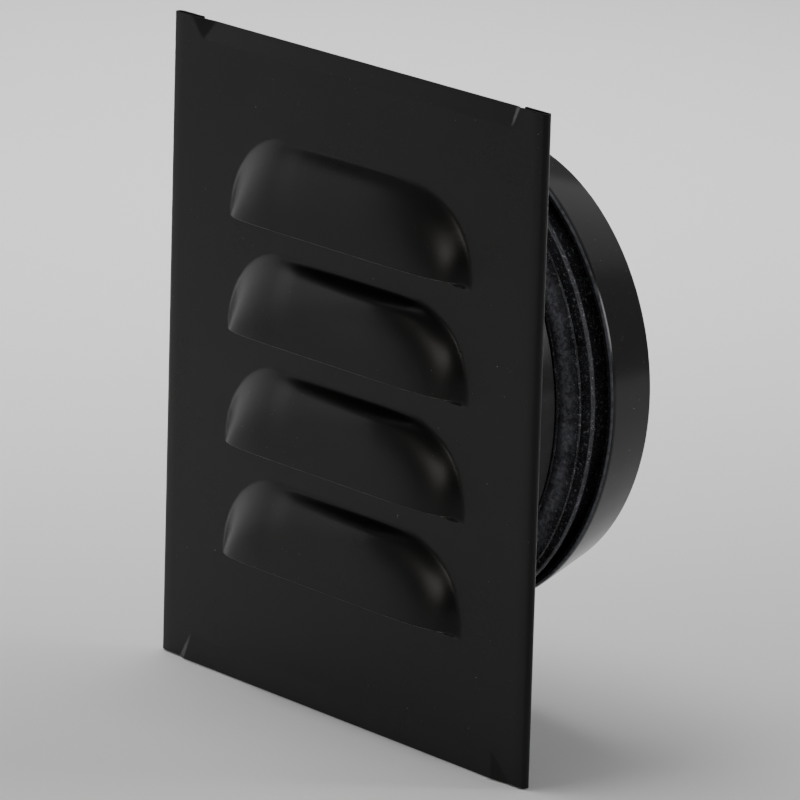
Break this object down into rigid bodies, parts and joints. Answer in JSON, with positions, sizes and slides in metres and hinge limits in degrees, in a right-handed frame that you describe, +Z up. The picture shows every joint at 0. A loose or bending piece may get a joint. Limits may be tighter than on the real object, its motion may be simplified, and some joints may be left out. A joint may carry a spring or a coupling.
{
  "type": "louvred vent grille",
  "caption": "Small black wall grille of pressed sheet steel with hooded louvres that open downwards, on a round spigot whose rubber lip seal pushes into a duct.",
  "frame": {"origin": "on the duct axis, in the plane of the wall: the rear faces of the side hems and of the spigot's flange", "axes": "+X to the right seen from outside, +Y along the duct axis into the wall, +Z up"},
  "size_m": [0.13, 0.0512, 0.15],
  "materials": {
    "black_paint": "satin",
    "seal_rubber": "smooth"
  },
  "bodies": {
    "root": {"louvre_plate": "black_paint", "back_plate": "black_paint", "spigot": "black_paint", "seal_ring": "seal_rubber"}
  },
  "joints": []
}
